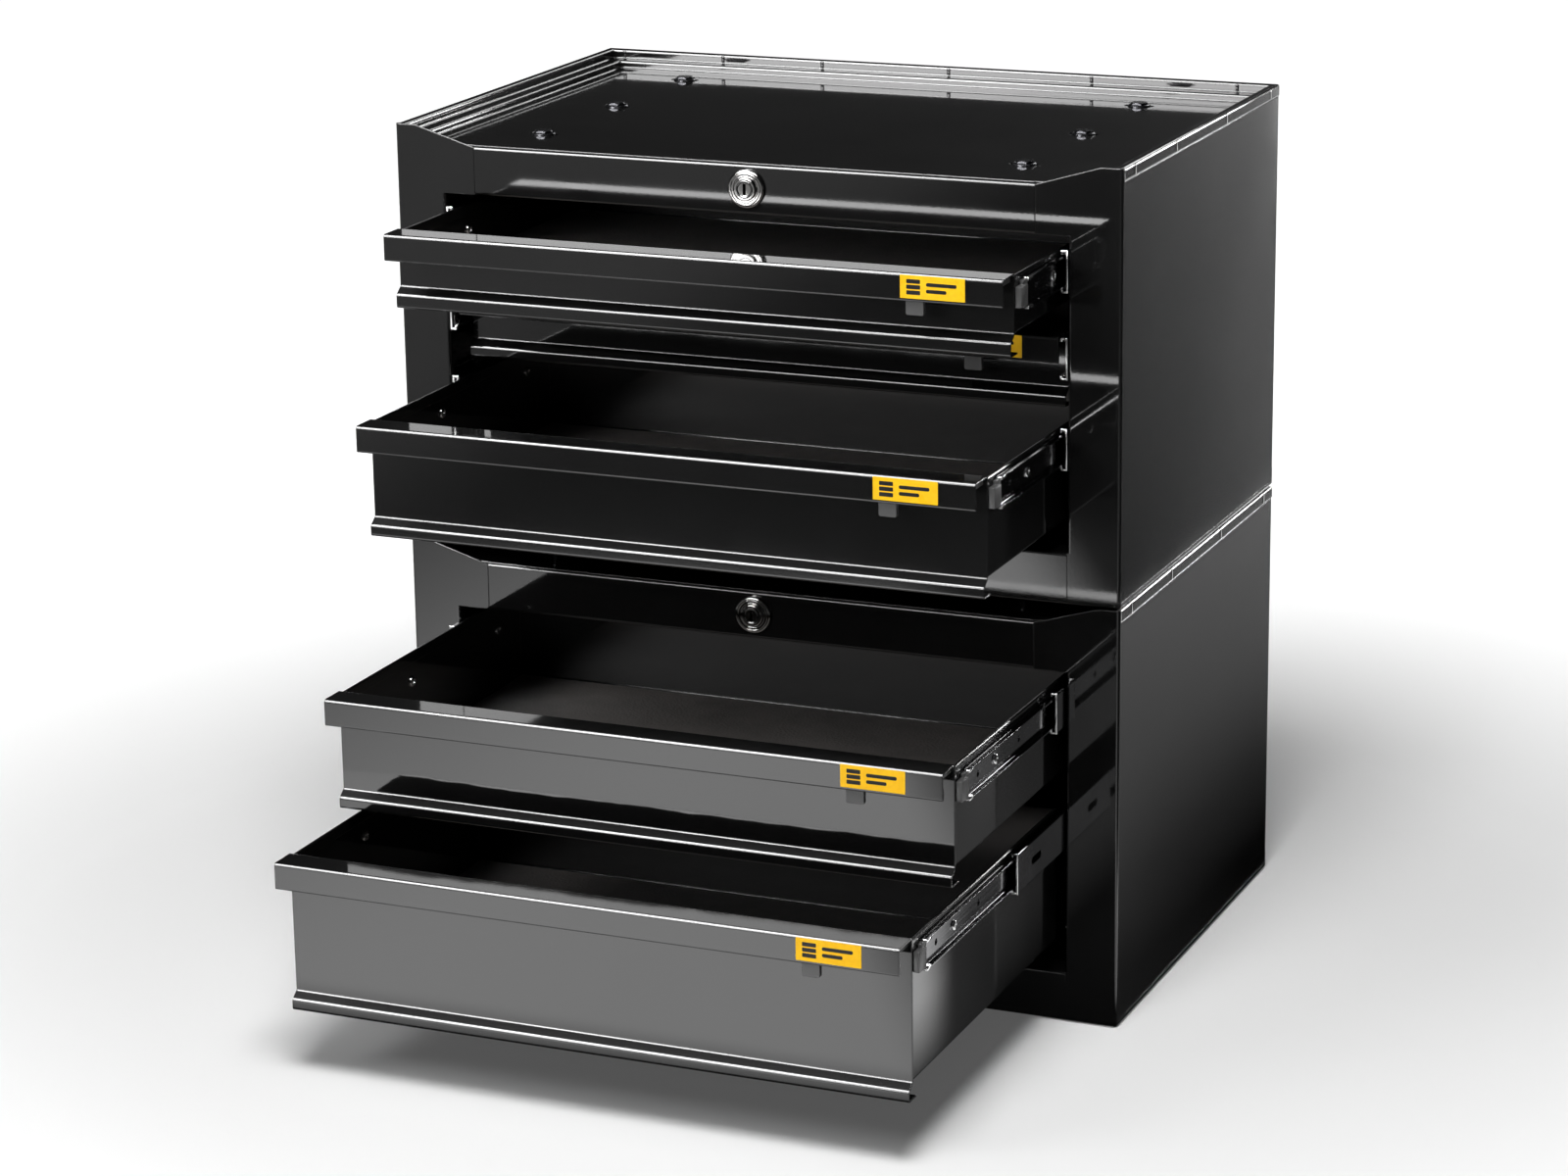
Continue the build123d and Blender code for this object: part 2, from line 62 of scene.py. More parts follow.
def make_camera():
    az, el = math.radians(CAMERA_AZIMUTH), math.radians(CAMERA_ELEVATION)
    back = Vector((math.sin(az) * math.cos(el), -math.cos(az) * math.cos(el), math.sin(el)))
    right = (-back).cross(Vector((0, 0, 1))).normalized()
    up = back.cross(right)
    turn = Matrix.Rotation(math.radians(CAMERA_ROLL), 3, back)
    axes = Matrix((turn @ right, turn @ up, back)).transposed()
    data = bpy.data.cameras.new("camera")
    data.lens = CAMERA_LENS
    data.sensor_width = 36
    camera = bpy.data.objects.new("camera", data)
    camera.matrix_world = Matrix.Translation(CAMERA_PLACE) @ axes.to_4x4()
    scene.collection.objects.link(camera)
    scene.camera = camera


# ---------------------------------------------------------------- node trees
class Tree:
    """Short names for building a node tree."""

    def __init__(self, tree):
        self.tree = tree
        self.coords = self.add("ShaderNodeTexCoord").outputs["Object"]

    def add(self, kind, **values):
        node = self.tree.nodes.new(kind)
        for name, value in values.items():
            setattr(node, name, value)
        return node

    def link(self, a, b):
        self.tree.links.new(a, b)

    def math(self, operation, a, b):
        """a and b are sockets or numbers."""
        node = self.add("ShaderNodeMath", operation=operation)
        for value, socket in zip((a, b), node.inputs):
            if isinstance(value, (int, float)):
                socket.default_value = value
            else:
                self.link(value, socket)
        return node.outputs["Value"]

    def stretched(self, scale):
        mapping = self.add("ShaderNodeMapping")
        mapping.inputs["Scale"].default_value = scale
        self.link(self.coords, mapping.inputs["Vector"])
        return mapping.outputs["Vector"]

    def noise(self, scale, detail=2.0, rough=0.5, vector=None, distortion=0.0):
        node = self.add("ShaderNodeTexNoise")
        node.inputs["Scale"].default_value = scale
        node.inputs["Detail"].default_value = detail
        node.inputs["Roughness"].default_value = rough
        node.inputs["Distortion"].default_value = distortion
        self.link(vector or self.coords, node.inputs["Vector"])
        return node.outputs["Fac"]

    def ramp(self, factor, *stops):
        node = self.add("ShaderNodeValToRGB")
        band = node.color_ramp
        while len(band.elements) < len(stops):
            band.elements.new(0.5)
        for element, (place, color) in zip(band.elements, stops):
            element.position = place
            element.color = (*color, 1)
        self.link(factor, node.inputs["Fac"])
        return node.outputs["Color"]

    def span(self, factor, low, high, start=0.0, stop=1.0, smooth=False):
        """Maps start..stop of a factor onto low..high."""
        node = self.add("ShaderNodeMapRange")
        if smooth:
            node.interpolation_type = "SMOOTHSTEP"
        node.inputs["From Min"].default_value = start
        node.inputs["From Max"].default_value = stop
        node.inputs["To Min"].default_value = low
        node.inputs["To Max"].default_value = high
        self.link(factor, node.inputs["Value"])
        return node.outputs["Result"]

    def split(self, vector):
        node = self.add("ShaderNodeSeparateXYZ")
        self.link(vector, node.inputs["Vector"])
        return node.outputs["X"], node.outputs["Y"], node.outputs["Z"]

    def product(self, first, *others):
        """Multiplies sockets."""
        for other in others:
            first = self.math("MULTIPLY", first, other)
        return first

    def total(self, first, *others):
        """Adds sockets."""
        for other in others:
            first = self.math("ADD", first, other)
        return first


class Finish(Tree):
    """A surface material: the node tree around one Principled shader."""

    def __init__(self, name):
        self.mat = bpy.data.materials.new(name)
        self.mat.use_nodes = True
        super().__init__(self.mat.node_tree)
        self.shader = self.tree.nodes["Principled BSDF"]

    def set(self, **values):
        for name, value in values.items():
            self.shader.inputs[name.replace("_", " ")].default_value = value

    def bump(self, height, distance, strength=1.0, under=None):
        node = self.add("ShaderNodeBump")
        node.inputs["Distance"].default_value = distance
        node.inputs["Strength"].default_value = strength
        self.link(height, node.inputs["Height"])
        if under is not None:
            self.link(under, node.inputs["Normal"])
        return node.outputs["Normal"]

    def rounded(self, radius):
        node = self.add("ShaderNodeBevel", samples=4)
        node.inputs["Radius"].default_value = radius
        return node.outputs["Normal"]

    def into(self, name, socket):
        self.link(socket, self.shader.inputs[name])


# ---------------------------------------------------------------- stage and light
def area_light(name, place, aim, size, radiance):
    """A softbox of the given radiance. It lights and is reflected, but isn't seen itself."""
    data = bpy.data.lights.new(name, "AREA")
    data.shape = "RECTANGLE"
    data.size, data.size_y = size
    data.energy = radiance * math.pi * size[0] * size[1]
    light = bpy.data.objects.new(name, data)
    light.location = place
    direction = Vector(aim) - Vector(place)
    light.rotation_euler = direction.to_track_quat("-Z", "Y").to_euler()
    light.visible_camera = False
    scene.collection.objects.link(light)
    return light


def glow_tree(name):
    """A material that only gives light; returns it with its tree and emission node."""
    mat = bpy.data.materials.new(name)
    mat.use_nodes = True
    mat.node_tree.nodes.clear()
    mat.cycles.emission_sampling = "NONE"
    tree = Tree(mat.node_tree)
    glow = tree.add("ShaderNodeEmission")
    tree.link(glow.outputs[0], tree.add("ShaderNodeOutputMaterial").inputs["Surface"])
    return mat, tree, glow


def floor_material():
    """Pale paper with a painted glow that rises with distance from the object: painted shade close to it,
    washing out to white away from it.
    """
    n = Finish("stage_floor")
    n.set(Base_Color=(0.8, 0.8, 0.8, 1), Roughness=0.9, Specular_IOR_Level=0.0)
    n.set(Emission_Color=(1, 1, 1, 1))
    x, y, z = n.split(n.coords)
    across = n.math("POWER", x, 2)
    along = n.math("POWER", n.math("ADD", y, 0.1), 2)
    away = n.math("SQRT", n.math("ADD", across, along), 0)
    # painted light and shade: emission goes from 0.08 near the object to 0.95 far out
    n.into("Emission Strength", n.span(away, 0.08, 0.95, 0.46, 1.6, smooth=True))
    n.mat.cycles.emission_sampling = "NONE"
    return n.mat


def grey(level):
    return [level] * 3


def from_slant(n, x, y, slope):
    """How far y lies behind a line that leaves the right side's plane at this slope."""
    return n.math("SUBTRACT", y, n.math("MULTIPLY", n.math("SUBTRACT", x, HALF_W), slope))


def right_shine(n, x, y):
    """Painted reflection beside the cabinet's right side: a painted shadow of the cabinet, dark at its
    foot, then slowly lighter.
    """
    skew = from_slant(n, x, y, 3.15)
    near = n.ramp(
        n.span(x, 0.0, 1.0, 0.3, 0.7),
        (0.08, grey(0.0)), (0.25, grey(0.05)), (0.5, grey(0.18)), (0.85, grey(0.28)),
    )
    far = n.ramp(
        n.span(skew, 0.0, 1.0, -0.4, 0.4),
        (0.1, grey(0.01)), (0.47, grey(0.06)), (0.85, grey(0.16)),
    )
    both = n.total(
        n.product(near, n.span(x, 1.0, 0.0, 0.672, 0.7)),
        n.product(far, n.span(x, 0.0, 1.0, 0.672, 0.7)),
    )
    return n.product(
        both,
        n.span(skew, 0.15, 1.0, -0.5, -0.3, smooth=True),
        n.span(y, 0.0, 1.0, -0.1, 0.05, smooth=True),
    )


def rear_shine(n, x, y):
    """Painted reflection of lit floor behind the right side's rear edge."""
    skew = from_slant(n, x, y, 3.15)
    return n.product(n.span(skew, 0.0, 2.0, 0.42, 0.6, smooth=True), n.span(y, 0.0, 1.0, 0.25, 0.4))


def corner_shine(n, x, y):
    """A painted light wedge off the front right corner, ending behind in a painted shadow edge of the
    cabinet.
    """
    edge = from_slant(n, x, y, 2.5)
    return n.product(
        n.span(edge, 1.6, 0.0, -0.37, -0.28, smooth=True),
        n.span(x, 0.0, 1.0, 0.31, 0.37),
        n.span(x, 1.0, 0.0, 0.56, 0.68, smooth=True),
    )


def front_shine(n, x, y):
    """The painted bright patch in front, which the two lowest drawers mirror; close to them it fades into a
    painted shadow.
    """
    reach = n.math("SUBTRACT", x, n.math("MULTIPLY", n.math("ADD", y, 0.76), 0.55))
    return n.product(
        n.span(y, 0.0, 3.75, -1.68, -1.48, smooth=True),
        n.span(y, 1.0, 0.0, -0.69, -0.6, smooth=True),
        n.span(reach, 1.0, 0.04, 0.12, 0.25, smooth=True),
        n.span(x, 0.15, 1.0, -1.1, -0.28, smooth=True),
    )


def left_shine(n, x, y):
    """A painted lighter strip far out on the left."""
    return n.product(n.span(x, 0.5, 0.05, -1.3, -0.85, smooth=True), n.span(y, 1.0, 0.0, -0.5, 0.2))


def shine_material():
    """The floor as the glossy paint sees it, painted as glow: painted reflections bright in front, painted
    shade close to the cabinet.
    """
    mat, n, glow = glow_tree("stage_shine")
    x, y, z = n.split(n.coords)
    zones = (right_shine, rear_shine, corner_shine, front_shine, left_shine)
    n.link(n.total(*[zone(n, x, y) for zone in zones]), glow.inputs["Strength"])
    return mat


def hide_from(thing, *rays):
    """Makes a light or object invisible to these kinds of rays."""
    for ray in rays:
        setattr(thing, "visible_" + ray, False)


def make_stage():
    """A floor that the camera sees, with a painted glow; a second one that only reflections see, glowing
    with painted reflections and painted shade; and a white dome.
    """
    bpy.ops.mesh.primitive_circle_add(vertices=96, radius=9, fill_type="NGON")
    floor = bpy.context.object
    floor.name = "stage_floor"
    floor.data.materials.append(floor_material())
    hide_from(floor, "glossy")
    bpy.ops.mesh.primitive_circle_add(vertices=96, radius=8.9, fill_type="NGON", location=(0, 0, 0.3 * MM))
    shine = bpy.context.object
    shine.name = "stage_shine"
    shine.data.materials.append(shine_material())
    hide_from(shine, "camera", "diffuse", "shadow", "transmission", "volume_scatter")
    bpy.ops.mesh.primitive_uv_sphere_add(segments=64, ring_count=32, radius=9.1)
    dome = bpy.context.object
    dome.name = "stage_dome"
    mat, tree, glow = glow_tree("stage_dome")
    glow.inputs["Strength"].default_value = 1.05
    dome.data.materials.append(mat)
    hide_from(dome, "diffuse", "glossy", "shadow", "transmission", "volume_scatter")


def make_world():
    """A dim room that is a little lighter towards the horizon."""
    world = bpy.data.worlds.new("world")
    scene.world = world
    world.use_nodes = True
    n = Tree(world.node_tree)
    direction = n.add("ShaderNodeTexCoord").outputs["Generated"]
    x, y, z = n.split(direction)
    level = n.ramp(n.span(z, 0.0, 1.0, 0.0, 0.6), (0.0, grey(0.1)), (0.3, grey(0.018)), (1.0, grey(0.03)))
    n.link(level, n.tree.nodes["Background"].inputs["Color"])


def make_lights():
    """Large soft sources: place, aim, size and radiance. The last four only give reflections."""
    area_light("top", (0.5, -1.5, 3.0), (0, -0.2, 0), (1.3, 1.2), 20)
    area_light("front_fill", (-1.6, -2.4, 2.2), (0, -0.2, 0.4), (1.2, 1.2), 5)
    key = area_light("key", (-1.35, -3.2, 1.5), (0, -0.2, 0.5), (1.7, 0.85), 25)
    glint = area_light("glint", (-1.19, -1.65, 2.9), (0.06, -0.25, 0.5), (1.54, 2.3), 34)
    rear = area_light("rear", (0.1, 2.7, 2.1), (0, 0, 0.6), (0.8, 0.8), 6)
    edge = area_light("edge", (1.5, 2.7, 0.77), (0.3, 0, 0.34), (0.5, 0.5), 45)
    for light in (key, glint, rear, edge):
        hide_from(light, "diffuse")


# ---------------------------------------------------------------- materials
PAINT_TONE = 0.002
SHEET_EDGE = 1.1 * MM           # radius that the shader gives to folded sheet edges
SAG_SLOPE = 0.06
SAG_RANGE = (0.2028, 0.2195)    # heights on drawer 4's front between which its sheet curls in


def paint_material(name, rough, sag=None):
    """Gloss black powder coat: fine orange peel over a slightly wavy sheet.

    sag is (low, high): between these heights the sheet curls back towards its lower edge.
    """
    n = Finish(name)
    tint = n.noise(14, 4, 0.6)
    n.into("Base Color", n.ramp(tint, (0.3, grey(PAINT_TONE * 0.8)), (0.7, grey(PAINT_TONE * 1.25))))
    haze = n.noise(9, 5, 0.65, distortion=0.6)
    n.into("Coat Roughness", n.span(haze, rough * 0.8, rough * 1.5, 0.35, 0.7))
    n.into("Roughness", n.span(haze, 0.4, 0.5, 0.35, 0.7))
    n.set(Coat_Weight=1.0, Coat_IOR=1.5, Specular_IOR_Level=0.04)
    wave = n.bump(n.noise(6, 1, 0.4), 0.7 * MM, 0.5, n.rounded(SHEET_EDGE))
    if sag:
        low, high = sag
        x, y, z = n.split(n.coords)
        ripple = n.span(n.noise(1.0, 2, 0.5, n.stretched((22, 1, 4))), -1.5 * MM, 1.5 * MM, 0.3, 0.7)
        below = n.span(n.math("ADD", z, ripple), 1.0, 0.0, low, high)
        curl = n.math("SUBTRACT", 1.0, n.math("POWER", below, 1.25))
        wave = n.bump(curl, (high - low) * SAG_SLOPE, 1.0, wave)
    skin = n.bump(n.noise(420, 2, 0.5), 0.012 * MM, 0.5, wave)
    n.into("Normal", skin)
    n.into("Coat Normal", skin)
    return n.mat


def zinc_material(name, color, rough, along=(120, 6, 900)):
    """Zinc-plated steel with fine drawn lines and cloudy passivation."""
    n = Finish(name)
    cloud = n.noise(45, 5, 0.6)
    light = [min(c * 1.12, 1) for c in color]
    dark = [c * 0.8 for c in color]
    n.into("Base Color", n.ramp(cloud, (0.3, dark), (0.7, light)))
    lines = n.noise(1.0, 3, 0.6, n.stretched(along))
    n.into("Roughness", n.span(lines, rough * 0.75, rough * 1.3, 0.3, 0.7))
    n.into("Normal", n.bump(lines, 0.04 * MM, 0.4, n.rounded(0.3 * MM)))
    n.set(Metallic=1.0)
    return n.mat


def chrome_material(name, low, high):
    """Polished plating with a faint orange peel."""
    n = Finish(name)
    n.into("Base Color", n.ramp(n.noise(60, 3), (0.3, low), (0.7, high)))
    n.into("Roughness", n.span(n.noise(180, 3), 0.05, 0.16, 0.35, 0.75))
    n.into("Normal", n.bump(n.noise(700, 2), 0.01 * MM, 0.4, n.rounded(0.4 * MM)))
    n.set(Metallic=1.0)
    return n.mat


def plastic_material(name, color, rough):
    """Moulded plastic with a spark-eroded grain."""
    n = Finish(name)
    tint = n.noise(80, 4, 0.6)
    n.into("Base Color", n.ramp(tint, (0.3, [c * 0.85 for c in color]), (0.7, [c * 1.1 for c in color])))
    grain = n.noise(2200, 2, 0.6)
    n.into("Roughness", n.span(grain, rough * 0.85, rough * 1.15, 0.3, 0.7))
    n.into("Normal", n.bump(grain, 0.04 * MM, 0.5, n.rounded(0.4 * MM)))
    return n.mat


def rubber_material(name):
    """Matt liner with a fine pebble grain and dusty patches."""
    n = Finish(name)
    dust = n.noise(16, 5, 0.65)
    n.into("Base Color", n.ramp(dust, (0.3, (0.12, 0.105, 0.096)), (0.72, (0.205, 0.182, 0.167))))
    cells = n.add("ShaderNodeTexVoronoi")
    cells.inputs["Scale"].default_value = 420
    n.link(n.coords, cells.inputs["Vector"])
    n.into("Normal", n.bump(cells.outputs["Distance"], 0.5 * MM, 0.6))
    n.set(Roughness=0.7)
    return n.mat


def film_material(name, light, dark, rough):
    """Printed vinyl: even colour, a faint mottle and a soft gloss."""
    n = Finish(name)
    n.into("Base Color", n.ramp(n.noise(240, 4, 0.6), (0.35, dark), (0.65, light)))
    n.into("Roughness", n.span(n.noise(60, 3), rough * 0.8, rough * 1.25, 0.35, 0.7))
    n.into("Normal", n.bump(n.noise(900, 2), 0.01 * MM, 0.5, n.rounded(0.2 * MM)))
    n.set(Specular_IOR_Level=0.15)
    return n.mat


MATERIALS = {
    "shell_paint": paint_material("shell_paint", 0.05),
    "drawer_paint": paint_material("drawer_paint", 0.045),
    # painted shade: slide_zinc is darkened to 0.16 so the slide webs look as dark as the shade they mirror
    "slide_zinc": zinc_material("slide_zinc", (0.16, 0.16, 0.165), 0.12),
    "linkage_zinc": zinc_material("linkage_zinc", (0.6, 0.6, 0.62), 0.34),
    "fastener_zinc": zinc_material("fastener_zinc", (0.07, 0.07, 0.075), 0.25, (300, 300, 300)),
    "lock_chrome": chrome_material("lock_chrome", (0.24, 0.235, 0.23), (0.38, 0.375, 0.37)),
    "latch_plastic": plastic_material("latch_plastic", (0.035, 0.035, 0.035), 0.42),
    "liner_rubber": rubber_material("liner_rubber"),
    "label_film": film_material("label_film", (0.92, 0.52, 0.004), (0.86, 0.47, 0.003), 0.34),
}
LABEL_INK = film_material("label_ink", (0.012, 0.012, 0.012), (0.008, 0.008, 0.008), 0.4)
BRIGHT_ZINC = zinc_material("bright_zinc", grey(0.5), 0.16, (200, 200, 200))
CUT_ZINC = zinc_material("cut_zinc", grey(0.86), 0.22, (300, 300, 300))
END_PLASTIC = plastic_material("end_plastic", grey(0.06), 0.4)
CURLED_PAINT = paint_material("drawer_paint_curled", 0.045, SAG_RANGE)
DARK_CHROME = chrome_material("dark_chrome", grey(0.06), grey(0.16))


def dress_nodes():
    """Gives every CAD node the material of its slot. Drawer 4's front has a bent lower edge."""
    for part in frame["record"]["subparts"]:
        node = nodes[part["node"]]
        material = MATERIALS[part["material_slot"]]
        if not node.material_slots:
            node.data.materials.append(material)
        for slot in node.material_slots:
            slot.material = material
    for slot in nodes["drawer_4_front"].material_slots:
        slot.material = CURLED_PAINT


# ---------------------------------------------------------------- mesh pieces
def finish_piece(name, bm, body, slot, material=None):
    """Turns a bmesh into a piece that rides on a body and takes the material given, else its slot's finish.
    """
    bmesh.ops.recalc_face_normals(bm, faces=bm.faces)
    mesh = bpy.data.meshes.new(name)
    bm.to_mesh(mesh)
    bm.free()
    for face in mesh.polygons:
        face.use_smooth = True
    mesh.set_sharp_from_angle(angle=math.radians(40))
    piece = bpy.data.objects.new(name, mesh)
    scene.collection.objects.link(piece)
    mesh.materials.append(material or MATERIALS[slot])
    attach(piece, body)
    return piece


def spread(side, inner, outer):
    """Range between two distances from a middle plane, in millimetres; side is -1 or 1."""
    return sorted((side * inner * MM, side * outer * MM))


def add_block(bm, low, high, bevel):
    """A box between two corners with its edges rounded."""
    low, high = Vector(low), Vector(high)
    scale = Matrix.Diagonal((*(high - low), 1))
    made = bmesh.ops.create_cube(bm, size=1, matrix=Matrix.Translation((low + high) / 2) @ scale)
    edges = {edge for vert in made["verts"] for edge in vert.link_edges}
    bmesh.ops.bevel(bm, geom=list(edges), offset=bevel, segments=2, profile=0.5, affect="EDGES")


def add_turned(bm, profile, place, axis, steps=28):
    """A turned shape: (radius, height) pairs spun round an axis at a place."""
    turn = Vector((0, 0, 1)).rotation_difference(Vector(axis)).to_matrix()
    rings = []
    for radius, height in profile:
        ring = []
        for k in range(steps if radius else 1):
            angle = 2 * math.pi * k / steps
            point = Vector((radius * math.cos(angle), radius * math.sin(angle), height))
            ring.append(bm.verts.new(Vector(place) + turn @ point))
        rings.append(ring)
    for a, b in zip(rings, rings[1:]):
        for k in range(steps):
            quad = [a[k % len(a)], a[(k + 1) % len(a)], b[(k + 1) % len(b)], b[k % len(b)]]
            corners = list(dict.fromkeys(quad))
            if len(corners) > 2:
                bm.faces.new(corners)


def add_plate(bm, x0, x1, z0, z1, y0, y1, radius, steps=6):
    """A flat plate facing -Y, with rounded corners and a thin rounded front edge."""
    front, back = [], []
    edge = min(0.06 * MM, (y1 - y0) / 3)
    for cx, cz, start in ((x1, z1, 0), (x0, z1, 90), (x0, z0, 180), (x1, z0, 270)):
        sx = -1 if cx == x1 else 1
        sz = -1 if cz == z1 else 1
        for k in range(steps + 1):
            angle = math.radians(start + 90 * k / steps)
            cos, sin = math.cos(angle), math.sin(angle)
            px, pz = cx + sx * radius + radius * cos, cz + sz * radius + radius * sin
            back.append(bm.verts.new((px, y1, pz)))
            front.append((px, pz, cos, sin))
    middle = [bm.verts.new((px, y0 + edge, pz)) for px, pz, cos, sin in front]
    face = [bm.verts.new((px - edge * cos, y0, pz - edge * sin)) for px, pz, cos, sin in front]
    count = len(back)
    for a, b in ((back, middle), (middle, face)):
        for k in range(count):
            bm.faces.new((a[k], a[(k + 1) % count], b[(k + 1) % count], b[k]))
    bm.faces.new(face)
    bm.faces.new(list(reversed(back)))


# ---------------------------------------------------------------- labels
LABEL_X = (174 * MM, 225 * MM)
LABEL_H = 17.5 * MM
LABEL_UNDER_TOP = 1.2 * MM
LABEL_T = 0.22 * MM
INK_T = 0.05 * MM


def make_label(drawer):
    """Plain yellow label with a drawer-unit symbol and two bars; it has no lettering."""
    low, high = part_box(drawer + "_front")
    face = low.y
    top = high.z - LABEL_UNDER_TOP
    film = bmesh.new()
    add_plate(film, *LABEL_X, top - LABEL_H, top, face - LABEL_T, face, 0.5 * MM)
    finish_piece(drawer + "_label", film, drawer, "label_film")
    ink = bmesh.new()
    y0, y1 = face - LABEL_T - INK_T, face - LABEL_T
    left, middle = LABEL_X[0] + 5 * MM, top - LABEL_H / 2
    for k in (-1, 0, 1):
        z = middle + k * 4.2 * MM
        add_plate(ink, left, left + 11 * MM, z - 1.6 * MM, z + 1.6 * MM, y0, y1, 0.6 * MM)
    for z, length in ((2.4 * MM, 24 * MM), (-2.6 * MM, 16 * MM)):
        add_plate(
            ink, left + 15.5 * MM, left + 15.5 * MM + length,
            middle + z - 1.4 * MM, middle + z + 1.4 * MM, y0, y1, 1.2 * MM,
        )
    finish_piece(drawer + "_label_print", ink, drawer, "label_film", LABEL_INK)


# ---------------------------------------------------------------- slides
INNER_WEB = 255.2 * MM
BOX_INNER_FACE = 252.8 * MM
SCREWS_ON_INNER = (64 * MM, 208 * MM, 262 * MM)
SCREWS_IN_BOX = (98 * MM, 250 * MM)
RUNNER_HALF_H = 16.4            # millimetres, as are the distances given to spread
BALL_PITCH = 12 * MM
CAGE_STRIP = 0.3 * MM           # half the thickness of a cage's strips
CAGE_BRIDGE = 9 * MM


def middle_height(node):
    low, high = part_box(node)
    return (low.z + high.z) / 2


def add_pan_head(bm, place, axis, radius, height):
    """Screw head with a rounded rim and a recess."""
    profile = [
        (radius, 0), (radius, height * 0.45), (radius * 0.86, height * 0.85),
        (radius * 0.55, height), (radius * 0.42, height), (radius * 0.3, height * 0.35), (0, height * 0.3),
    ]
    add_turned(bm, profile, place, axis, 20)


def slide_screws(drawer):
    """Screws through the inner slide members, and their heads inside the drawer."""
    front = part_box(drawer + "_slide_inner")[0].y
    z = middle_height(drawer + "_slide_inner")
    bm = bmesh.new()
    for side in (-1, 1):
        for back in SCREWS_ON_INNER:
            add_pan_head(bm, (side * INNER_WEB, front + back, z), (side, 0, 0), 4.2 * MM, 1.8 * MM)
        for back in SCREWS_IN_BOX:
            place = (side * BOX_INNER_FACE, front + back, z - 5 * MM)
            add_pan_head(bm, place, (-side, 0, 0), 4.4 * MM, 2.0 * MM)
    finish_piece(drawer + "_slide_screws", bm, drawer, "slide_zinc", BRIGHT_ZINC)


def end_brackets(drawer):
    """Bright formed ends of the inner slide members, beside the drawer's front."""
    low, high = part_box(drawer + "_slide_inner")
    start = low.y - 0.8 * MM
    bm = bmesh.new()
    for side in (-1, 1):
        x0, x1 = spread(side, 255.3, 259.6)
        for z0, z1 in ((low.z + 0.1 * MM, low.z + 2.0 * MM), (high.z - 2.0 * MM, high.z - 0.1 * MM)):
            add_block(bm, (x0, start, z0), (x1, low.y + 9 * MM, z1), 0.3 * MM)
        x0, x1 = spread(side, 255.25, 256.6)
        add_block(bm, (x0, start, low.z + 1 * MM), (x1, low.y + 5 * MM, high.z - 1 * MM), 0.3 * MM)
    finish_piece(drawer + "_slide_ends", bm, drawer, "slide_zinc", CUT_ZINC)


def runner_ends(drawer):
    """Bare cut ends of the runners: a C with its lips turned in."""
    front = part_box(drawer + "_runner")[0].y
    z = middle_height(drawer + "_runner")
    y0, y1 = front - 0.5 * MM, front + 0.3 * MM
    edge = RUNNER_HALF_H * MM
    bm = bmesh.new()
    for side in (-1, 1):
        x0, x1 = spread(side, 260.5, 261.9)
        add_block(bm, (x0, y0, z - edge), (x1, y1, z + edge), 0.2 * MM)
        for sign in (-1, 1):
            x0, x1 = spread(side, 256.6, 261)
            z0, z1 = spread(sign, 15, RUNNER_HALF_H)
            add_block(bm, (x0, y0, z + z0), (x1, y1, z + z1), 0.2 * MM)
            x0, x1 = spread(side, 256.6, 257.8)
            z0, z1 = spread(sign, 13.2, 15.6)
            add_block(bm, (x0, y0, z + z0), (x1, y1, z + z1), 0.2 * MM)
    finish_piece(drawer + "_runner_ends", bm, drawer + "_slides", "slide_zinc", CUT_ZINC)


def end_bumpers(drawer):
    """Plastic end stops between the drawer's front and its slides, each with a nose on top."""
    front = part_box(drawer + "_slide_inner")[0].y
    z = middle_height(drawer + "_slide_inner")
    bm = bmesh.new()
    for side in (-1, 1):
        x0, x1 = spread(side, 254.2, 259.4)
        low, high = (x0, front - 15.5 * MM, z - 8.5 * MM), (x1, front - 1 * MM, z + 7.5 * MM)
        add_block(bm, low, high, 0.8 * MM)
        x0, x1 = spread(side, 254.2, 257.2)
        low, high = (x0, front - 6 * MM, z + 6 * MM), (x1, front + 3 * MM, z + 10.5 * MM)
        add_block(bm, low, high, 0.6 * MM)
    finish_piece(drawer + "_end_bumpers", bm, drawer, "latch_plastic", END_PLASTIC)


def floor_fold(drawer):
    """The bend where the drawer's back rises from its floor."""
    low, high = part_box(drawer + "_mat")
    size = 0.9 * MM
    bm = bmesh.new()
    start = (low.x + 1 * MM, high.y - 0.5 * MM, low.z)
    add_block(bm, start, (high.x - 1 * MM, high.y + size, high.z + size), 0.55 * MM)
    finish_piece(drawer + "_floor_fold", bm, drawer, "drawer_paint")


def ball_cage(name, body, y0, y1, z, web, tip, half, ball):
    """Left and right cages: two strips with balls, joined by a bridge at each end."""
    bm = bmesh.new()
    inset = 4 * MM
    for side in (-1, 1):
        x0, x1 = sorted((side * web, side * tip))
        b0, b1 = sorted((side * web, side * (web - 0.5 * MM)))
        for start in (y0, y1 - CAGE_BRIDGE):
            add_block(bm, (b0, start, z - half), (b1, start + CAGE_BRIDGE, z + half), 0.12 * MM)
        for sign in (-1, 1):
            level = z + sign * half
            add_block(bm, (x0, y0, level - CAGE_STRIP), (x1, y1, level + CAGE_STRIP), 0.12 * MM)
            count = int((y1 - y0 - 2 * inset) / BALL_PITCH)
            for k in range(count + 1):
                place = (side * (web + tip) / 2, y0 + inset + k * BALL_PITCH, level)
                bmesh.ops.create_uvsphere(
                    bm, u_segments=12, v_segments=8, radius=ball, matrix=Matrix.Translation(place)
                )
    finish_piece(name, bm, body, "slide_zinc", BRIGHT_ZINC)


